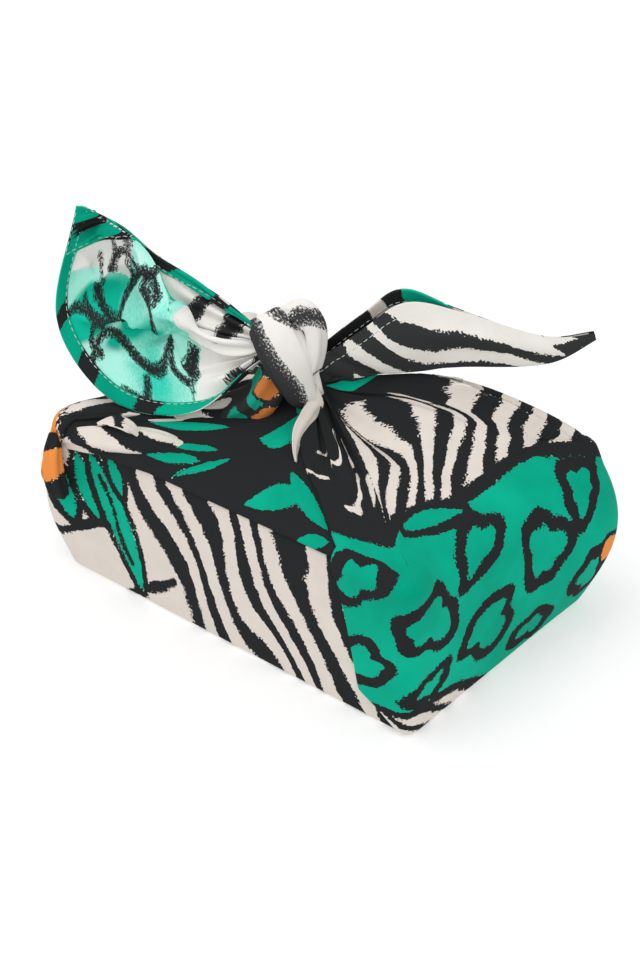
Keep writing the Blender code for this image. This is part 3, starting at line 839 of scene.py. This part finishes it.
def makePanel(name, s, design):
    climb = np.concatenate([np.linspace(0, 0.06, 5)[:-1],
                            np.linspace(0.06, 1.985, s["rows"])])
    near, far = (readTable(s[edge], climb)[:, None] * mm for edge in ("near", "far"))
    start, end = np.minimum(near, far), np.maximum(near, far)
    place = start + (end - start) * np.linspace(0, 1, s["columns"])
    climb = np.broadcast_to(climb[:, None], place.shape)
    inward = np.clip(climb - 1, 0, 1)
    u = takenIn(place, inward, s["middle"] * mm, s["folds"]) / mm
    v = arcLength(skin(place, climb), 0) / mm
    layers = 1 + smoothStep((climb - 0.82) / 0.15)
    lift = parcel["layer"] * layers * smoothStep(climb / 0.05)
    flat = placeGap(place, s["middle"] * mm) / mm
    lift += ripple(flat, v, 0.6, 42, s["seed"]) * mm * smoothStep(v / 15)
    points, normal = raised(place, climb, lift + overlaps(place, inward, s["folds"]))
    # both side edges are folds: columns that curl under with a small radius
    first, last = (np.stack(curled(
        points[:, at], unit(points[:, at] - points[:, inner]), normal[:, at],
        s["roll"] * mm, (45, 90, 140, 180)), 1) for at, inner in ((0, 1), (-1, -2)))
    points = np.concatenate([first[:, ::-1], points, last], axis=1)
    u = np.concatenate([u[:, :1] - np.arange(4, 0, -1), u,
                        u[:, -1:] + np.arange(1, 5)], axis=1)
    v = np.concatenate([v[:, :1]] * 4 + [v] + [v[:, -1:]] * 4, axis=1)
    points[..., 2] = np.maximum(points[..., 2], 0.0001)
    piece = gridMesh(name, points, u, v, design(u, v))
    clothWall(piece, wallThickness, faceCotton, reverseCotton)


makePanel("rightPanel", rightPanel, rightPrint)
makePanel("leftPanel", leftPanel, leftPrint)
print("end panels are made")

# the tie: its knot in the world, and how far its own frame is turned
knotPlace = (-0.017, -0.004, 0.123)
tieTurn = math.radians(39.7)


def throughRows(rows, amount):
    # smooth curve through the rows, the first at 0 and the last at 1
    rows = np.asarray(rows, dtype=float)
    ends = np.concatenate([[2 * rows[0] - rows[1]], rows, [2 * rows[-1] - rows[-2]]])
    position = np.clip(amount, 0, 1) * (len(rows) - 1)
    index = np.minimum(position.astype(int), len(rows) - 2)
    share = (position - index).reshape((-1,) + (1,) * (rows.ndim - 1))
    before, start, end, after = (ends[index + step] for step in range(4))
    return 0.5 * (2 * start + (end - before) * share
                  + (2 * before - 5 * start + 4 * end - after) * share ** 2
                  + (3 * start - before - 3 * end + after) * share ** 3)


def fromTie(points):
    # across, away and up from the knot in millimetres, to the world
    across, away, up = np.moveaxis(np.asarray(points, dtype=float) * mm, -1, 0)
    x = knotPlace[0] + across * math.cos(tieTurn) - away * math.sin(tieTurn)
    y = knotPlace[1] + across * math.sin(tieTurn) + away * math.cos(tieTurn)
    return np.stack([x, y, knotPlace[2] + up], axis=-1)


def fromBase(points):
    return np.asarray(points, dtype=float) * mm


def makeBand(name, rows, material, design, placed=fromTie):
    # oval section carried along a smooth line, its radius raised in lengthwise
    # folds that drift round it
    amount = np.linspace(0, 1, band["steps"])
    table = throughRows(rows, amount)
    centres = placed(table[:, :3])
    along = unit(np.gradient(centres, axis=0))
    across = unit(np.cross(along, centres - centres.mean(axis=0)))
    outward = np.cross(across, along)
    turn = np.linspace(0, 2 * math.pi, band["sides"] + 1)[None, :]
    fold = np.cos(band["folds"] * turn + band["drift"] * amount[:, None])
    fold = 1 + band["depth"] * (np.abs(fold) ** 0.6 * np.sign(fold))
    wide = table[:, 3, None] * mm * np.cos(turn) * fold
    thick = table[:, 4, None] * mm * np.sin(turn) * fold
    points = (centres[:, None] + across[:, None] * wide[..., None]
              + outward[:, None] * thick[..., None])
    u = arcLength(points, 1) / mm
    v = np.broadcast_to(arcLength(centres, 0)[:, None] / mm, u.shape)
    piece = gridMesh(name, points[:, :-1], u, v, design(u, v), True, True)
    piece.data.materials.append(material)


# rows of the bands: x, y, z, half width and half thickness in millimetres
band = {"steps": 72, "sides": 56, "folds": 5, "drift": 2.5, "depth": 0.10}
wrapBand = ((12, -4, -23, 6, 4), (7, -9, -14, 9, 5), (2, -11, 0, 11, 5),
            (-4, -8, 12, 11, 5), (-8, -1, 18, 10, 5), (-9, 7, 10, 9, 5),
            (-5, 9, -6, 8, 5))
topLobe = ((8, -7, -12, 5, 4), (13, -5, 2, 6, 4), (13, -2, 15, 7, 4.5),
           (7, 1, 22, 8, 5), (0, 5, 18, 8, 5), (-1, 8, 4, 8, 5))
leftStrand = ((-44, 14, -42, 12, 5), (-26, 8, -34, 12, 8), (-12, 2, -24, 11, 9),
              (-3, 0, -6, 9, 8))
rightStrand = ((20, 4, -24, 12, 6), (12, 4, -16, 11, 8), (4, 4, -4, 10, 7),
               (2, 5, 8, 8, 6))
upperPinch = ((-109, -66, 72, 2, 2), (-98, -57, 80, 6, 5), (-78, -43, 86, 8, 6),
              (-52, -26, 89, 8, 5), (-30, -10, 91, 8, 5))
lowerPinch = ((-109, -69, 70, 2, 2), (-97, -70, 77, 5, 4), (-80, -67, 81.5, 7, 6),
              (-62, -60, 83, 8, 5), (-48, -52, 82.5, 6, 3), (-36, -46, 80, 3, 1.5))
smallCurl = ((-84, -66, 88, 1.5, 1), (-79, -64.5, 91, 3, 1.6), (-73, -63, 92.5, 4, 2),
             (-67, -61.5, 91.5, 3.6, 2), (-62, -60, 88, 2, 1.2))
hangingRoll = ((-106, -74, 78, 3, 3), (-102, -80, 72, 4.5, 4), (-99, -83, 64, 5, 4.5),
               (-97, -83, 56, 5, 4.5), (-97, -80, 50, 3, 3))
nearRoll = ((-4, -3, 113, 3.0, 1.3), (0.7, -4, 106, 3.6, 1.3),
            (0.7, -10, 99.8, 3.8, 1.2), (2, -17.5, 96.0, 3.4, 1.1),
            (5, -24, 93.2, 2.6, 0.9), (8.6, -29, 91.2, 1.7, 0.7),
            (12.5, -33, 89.6, 0.7, 0.4))
strandBlots = ((22, 54, 36, 46, 5.5), (16, 42, 30, 34, 4.5))
strandGreens = ((28, 38, 46, 54, 7), (8, 16, 40, 30, 8))


def plainInk(u, v):
    return layered(np.full_like(u, -absent))


def rollPrint(u, v):
    # black with an orange blot across its upper half
    blot = 6.5 - np.abs(v - 14 - 1.5 * np.sin(u / 4))
    return layered(-blot, absent, blot)


def bandPrint(turn, period, share, seed):
    return lambda u, v: layered(bands(u, v, turn, period, share, 3, seed))


def strandPrint(u, v):
    # black with green below and two orange blots
    blot, green = drawn(leaf, u, v, strandBlots), drawn(leaf, u, v, strandGreens)
    return layered(most(-most(blot, green), np.minimum(blot + 2, -blot)), green, blot)


def wrapPrint(u, v):
    # one broad stroke along the band and a short one across its top
    return layered(most(10 - np.abs(u - 25 - 0.15 * (v - 30) + 1.5 * np.sin(v / 7)),
                        leaf(u, v, (0, 40, 14, 56, 3.5))))


def lobePrint(u, v):
    return layered(most(4.5 - np.abs(v - 36 - 0.5 * (u - 18)),
                        3 - np.abs(v - 10 + 0.3 * u)))


makeBand("wrapBand", wrapBand, knotCotton, wrapPrint)
makeBand("topLobe", topLobe, knotCotton, lobePrint)
makeBand("leftStrand", leftStrand, tieLitCotton, strandPrint)
makeBand("rightStrand", rightStrand, faceCotton, plainInk)
for name, rows, design in (
        ("nearRoll", nearRoll, bandPrint(80, 90, 0.08, 0.9)),
        ("upperPinchFold", upperPinch, bandPrint(22, 19, 0.58, 0.9)),
        ("lowerPinchFold", lowerPinch, bandPrint(28, 17, 0.46, 0.3)),
        ("smallCurl", smallCurl, bandPrint(60, 14, 0.3, 0.5)),
        ("hangingRoll", hangingRoll, rollPrint)):
    makeBand(name, rows, faceCotton, design, fromBase)
print("knot is made")

# hems and stitches, in millimetres
thread = {"length": 2.5, "gap": 1.0, "thick": 0.20, "rings": 5, "sides": 6,
          "start": 2, "inset": 1.0}
hem = {"width": 7.5, "lift": 0.9, "shift": 9}


def besideEdge(points, values, distance, atEnd):
    # values at even distances in from one edge: the grid is read between its
    # columns, where the distance over the row's length says
    if atEnd:
        points, values = points[:, ::-1], values[:, ::-1]
    near = 6
    reach = arcLength(points[:, :near + 1], 1)[:, -1] / near
    position = np.minimum(distance[None] / reach[:, None], points.shape[1] - 1.001)
    index = position.astype(int)
    share = (position - index)[..., None]
    row = np.arange(len(points))[:, None]
    return values[row, index] * (1 - share) + values[row, index + 1] * share


def hemPrint(u, v):
    # green hem crossed by black strokes
    return layered(bands(u, v, 62, 30, 0.34, 5, 1.1), -absent)


def makeHem(name, points, normal, cloth, design, atEnd):
    # the turned edge: a strip that rises off the cloth at the very edge and
    # steps down again at its inner side
    width = hem["width"]
    distance = np.concatenate([[0, 0.15, 0.5], np.linspace(1.0, width - 0.3, 9),
                               [width - 0.05, width, width]]) * mm
    rise = np.array([0.0, 0.6, 0.95] + [1.0] * 9 + [0.95, 0.7, 0.1]) * hem["lift"] * mm
    out = unit(besideEdge(points, normal, distance, atEnd))
    strip = besideEdge(points, points, distance, atEnd) + out * rise[None, :, None]
    cloth = besideEdge(points, cloth, distance + hem["shift"] * mm, atEnd)
    if atEnd:
        strip, cloth = strip[:, ::-1], cloth[:, ::-1]
    u, v = np.moveaxis(cloth, -1, 0)
    piece = gridMesh(name, strip, u, v, design(u, v))
    piece.data.materials.append(faceCotton)
    return piece


def makeStitches(name, points, normal, atEnd, lift=1.0, stop=1000):
    # short spindles of thread in a line beside the edge, as far as stop
    distance = np.array([(hem["width"] - thread["inset"]) * mm])
    line = besideEdge(points, points, distance, atEnd)[:, 0]
    out = unit(besideEdge(points, normal, distance, atEnd))[:, 0]
    line = line + out * lift * mm
    length = arcLength(line, 0)
    step = (thread["length"] + thread["gap"]) * mm
    starts = np.arange(thread["start"] * mm, min(length[-1] - step, stop * mm), step)
    share = np.linspace(0, 1, thread["rings"])
    at = starts[:, None] + share * thread["length"] * mm
    middle, up = (np.stack([np.interp(at, length, row) for row in rows.T], -1)
                  for rows in (line, out))
    along = unit(np.gradient(middle, axis=1))
    across = unit(np.cross(along, up))
    up = np.cross(across, along)
    radius = thread["thick"] * mm * np.sqrt(np.clip(1.02 - (2 * share - 1) ** 4, 0, 1))
    turn = np.linspace(0, 2 * math.pi, thread["sides"], endpoint=False)[:, None]
    rings = middle[:, :, None] + radius[:, None, None] * (
        across[:, :, None] * np.cos(turn) + up[:, :, None] * np.sin(turn))
    count, ringCount, sides = rings.shape[:3]
    base = np.arange(count)[:, None, None] * ringCount * sides
    quads = np.stack([base + a * sides + b % sides
                      for a, b in gridCorners(ringCount - 1, sides)], -1)
    first = base[:, 0] + np.arange(sides)[::-1]
    last = base[:, 0] + (ringCount - 1) * sides + np.arange(sides)
    mesh = bpy.data.meshes.new(name)
    mesh.from_pydata(rings.reshape(-1, 3).tolist(), [], quads.reshape(-1, 4).tolist()
                     + first.tolist() + last.tolist())
    mesh.materials.append(threadMaterial)
    return wrapPiece(name, mesh)


def hemmed(names, points, normal, u, v, design):
    # a hem and its stitches along both edges
    cloth, pieces = np.stack([u, v], -1), []
    for name, atEnd in zip(names, (False, True)):
        pieces.append(makeHem(name, points, normal, cloth, design, atEnd))
        pieces.append(makeStitches(name + "Stitches", points, normal, atEnd))
    return pieces


def measured(points):
    # millimetres of cloth across the grid from its middle column, and along it
    u, v = arcLength(points, 1) / mm, arcLength(points, 0) / mm
    return u - u[:, u.shape[1] // 2, None], v


# the ear
ear = {
    # lower hem, fold at its front, upper hem (across, away, up from the knot),
    # how deep it is cupped and how far it is folded back on itself
    "rows": (
        ((-9, -3, 2), (-10, -1, 4), (-9, 7, 6), 0, 0),
        ((-44, -5, -28), (-36, 5, 5), (-38, 22, 25), 13, 6),
        ((-85, 8, -29), (-53, 17, 16), (-61, 32, 36), 21, 5),
        ((-111, 25, 6), (-68, 33, 37), (-75, 38, 46), 16, 0),
        ((-99, 36, 60), (-93, 37, 58), (-91, 37, 57), 1, 0),
    ),
    "steps": 205, "neckPleats": 9, "neckDepth": 2.2,
}
# crumples: u0, v0, u1, v1, half width, height, lean; millimetres of cloth
earCreases = (
    (-58, 138, -18, 84, 2.4, -4.5, 0), (-26, 92, -2, 66, 2.4, -4.5, 0),
    (-66, 136, -22, 78, 5.5, 9.0, -9.0), (-34, 92, -10, 44, 5.0, 9.0, -9.0),
    (-76, 130, -42, 76, 2.2, -5.0, 0), (-50, 84, -12, 44, 2.2, -5.0, 0),
    (-64, 112, -40, 104, 2.4, 3.5, -3.0), (2, 100, -12, 66, 2.6, 3.6, 2.0),
    (-38, 118, -14, 96, 2.4, 3.4, -2.8), (-18, 22, -60, 98, 5.0, 4.2, 3.5),
    (-28, 28, -68, 72, 4.0, -3.4, 0), (20, 120, 8, 50, 3.2, -2.8, 0),
    (-30, 74, -4, 40, 2.0, -3.0, 0), (-18, 88, -4, 34, 4.2, 7.0, 4.0),
    (-2, 88, 12, 38, 2.6, -3.0, 0), (-52, 128, -30, 96, 2.2, 3.6, -3.0),
    (-44, 68, -70, 82, 2.2, 2.4, 1.6), (-14, 60, -34, 40, 2.4, 2.6, -2.0),
)
earStrokes = (  # u and v of both ends, half width, bend
    (-72, 130, -16, 88, 3.6, 8), (-24, 104, 0, 70, 3.2, 5), (-36, 112, -8, 60, 3.6, -8),
    (-66, 104, -28, 58, 3.8, 9), (-80, 104, -60, 64, 3.6, 6),
    (-12, 72, -38, 42, 3.4, 7), (-54, 70, -74, 84, 3.6, 3), (16, 130, 24, 90, 4.5, 4),
    (8, 80, 26, 56, 4.0, -3), (-44, 118, -60, 100, 3.2, 4),
)
earStreaks = ((2, 106, -24, 101, 3.2, 1), (4, 93, -16, 91, 3.2, 1),
              (-24, 116, -34, 108, 2.6, 0))
earPatch = (-15, 116, 29, 17)  # middle, and how far it reaches along and across
# bands along the ear's crease valleys where a deeper green is painted as shade
earValleyShade = ((-76, 136, -16, 82, 9), (-54, 96, -10, 48, 7))


def earPrint(u, v):
    # green with bent strokes towards the tip, cream with strokes at the neck, and a
    # deeper green painted as shade along the crease valleys
    green = np.minimum(v - 48 - 8 * np.sin(u / 15), (14 - u) * 1.4)
    u0, v0, alongHem, acrossHem = earPatch
    patch = np.minimum(alongHem - np.abs(v - v0),
                       acrossHem - np.abs(u - u0 + 0.3 * (v - v0)))
    green = np.minimum(green, -0.8 * np.minimum(patch, 12 - u))
    shapes = most(drawn(wiggle, u, v, earStrokes),
                  0.5 * drawn(wiggle, u, v, earStreaks))
    strokes = bands(u, v, 58, 22, 0.56, 7, 0.6, 10)
    ink = most(np.minimum(shapes, v - 44), np.minimum(strokes, 46 - v))
    return layered(ink, green, drawn(leaf, u, v, earValleyShade))


def columns(rows, along):
    # each column of a table of rows, read along a smooth curve
    return [throughRows(column, along) for column in zip(*rows)]


def earPoints(along):
    lower, fold, upper, cup, back = columns(ear["rows"], along)
    cup, back = cup[:, None], back[:, None]
    away = np.array([0.35, 0.9, 0.25])
    hollow = lower * 0.55 + fold * 0.45 + away * cup
    hidden = fold * 0.75 + upper * 0.25 + np.array([-1.0, 1.0, -0.8]) * back
    behind = hidden * 0.4 + upper * 0.6 + away * back * 0.5
    return throughRows(np.stack([lower, hollow, fold, hidden, behind, upper]), along)


def makeEar():
    along = np.linspace(0, 1, ear["steps"])
    points = np.swapaxes(fromTie(earPoints(along)), 0, 1)
    u, v = measured(points)
    tip, part = along[:, None], along[None]
    edge = smoothStep((np.minimum(part, 1 - part) - 0.03) / 0.10)
    lift, *slides = creases(u, v, earCreases)
    lift = lift + ripple(u, v, 1.6, 24, 0.8) * smoothStep(tip / 0.3)
    lift = lift + crinkled(u, v, 1.5, 19, 0.4) * smoothStep(tip / 0.2) * smoothStep(
        (6 - u) / 6)
    neck = smoothStep(tip / 0.08) * (1 - smoothStep((tip - 0.10) / 0.42))
    neck = neck * np.cos(2 * math.pi * ear["neckPleats"] * part + 4 * tip)
    # the layer folded behind the front one keeps still, so the two never cross
    behind = smoothStep((u + 8) / 7) * smoothStep((v - 46) / 12)
    inside = smoothStep((1 - tip) / 0.12) * edge * (1 - behind)
    lift = lift * inside + ear["neckDepth"] * neck
    points = shifted(points, gridNormal(points), lift,
                     [slide * inside for slide in slides])
    piece = gridMesh("ear", points, u, v, earPrint(u, v))
    clothWall(piece, endThickness, reverseCotton, outerCotton, 0)
    pieces = hemmed(("earLowerHem", "earUpperHem"), points, gridNormal(points), u, v,
                    hemPrint)


makeEar()
print("ear is made")

# the tail
tail = {
    # hem in front, fold below, hem behind, how far the faces belly out
    "rows": (
        ((8, -4, -6), (9, -1, -16), (8, 4, -4), 0),
        ((34, -6, 16), (33, -6, -8.5), (34, 7, 17.5), 3),
        ((54, -9, 32), (54, -9, -4), (53, 5, 32), 4),
        ((79, -13, 29.5), (82, -13, 1), (77, -4, 27), 4),
        ((108, -18, 22), (110, -18, 4), (106, -14, 20.5), 3),
        ((124, -21, 20.5), (125, -21, 9), (122, -18, 19), 1.5),
        ((139, -24, 24), (140, -24, 21), (139, -22, 24), 0),
    ),
    "steps": 180, "across": 130, "stitched": 56,
}
tailCreases = (
    (-30, 8, -16, 52, 3, -1.8, 0), (-18, 6, -2, 46, 3, -2.0, 0),
    (-8, 10, -22, 66, 4, 1.6, 0.6), (-34, 60, -16, 120, 5, -1.6, 0),
    (-48, 56, -30, 100, 4, 1.2, 0), (18, 10, 12, 60, 4, 1.8, 0),
    (30, 30, 18, 96, 5, -1.6, 0),
)


def tailPrint(u, v, inset):
    # brush strokes slanting down from the upper hem on cream, which is bare
    # along the hem; black at the knot, green at the top behind
    ink = bands(u, v, -28, 17, 0.58, 4, 1.9)
    bare = np.minimum(np.minimum(9 - inset, v - 54), 124 - v)
    ink = np.maximum(np.minimum(ink, -bare), 24 - v)
    green = 9 - np.hypot((u - 56) / 1.4, (v - 66) / 1.3)
    return layered(np.maximum(np.minimum(ink, -green), v - 138), green)


def tailHemPrint(u, v):
    # black hem with cream gaps, green where it stands highest
    green = 12 - np.abs(v - 66)
    return layered(np.minimum(most(bands(u, v, 70, 36, 0.62, 4, 0.5), 20 - v), -green),
                   green)


def makeTail():
    along = np.linspace(0, 1, tail["steps"])
    front, fold, back, belly = columns(tail["rows"], along)
    belly, away = belly[:, None], np.array([0, 1, 0])
    inner = (front + back) * 0.33 + fold * 0.34 + away
    section = [front, (front + fold) / 2 - away * belly, fold, inner,
               fold + away * 1.6, (back + fold) / 2 + away * (belly + 3), back]
    points = fromTie(throughRows(section, np.linspace(0, 1, tail["across"])))
    points = np.swapaxes(points, 0, 1)
    u, v = measured(points)
    lift, *slides = creases(u, v, tailCreases)
    lift = lift + ripple(u, v, 0.5, 24, 0.3)
    inside = smoothStep((1 - along[:, None]) / 0.1) * smoothStep(along[:, None] / 0.05)
    points = shifted(points, gridNormal(points), lift * inside,
                     [slide * inside for slide in slides])
    normal = -gridNormal(points)
    piece = gridMesh("tail", points, u, v, tailPrint(u, v, u - u[:, :1]))
    clothWall(piece, endThickness, tieLitCotton, reverseCotton, 0)
    pieces = hemmed(("tailFrontHem", "tailBackHem"), points, normal, u, v, tailHemPrint)
    pieces.append(makeStitches("tailOuterStitches", points, -normal, False, 0.3,
                               tail["stitched"]))


makeTail()
print("tail is made")
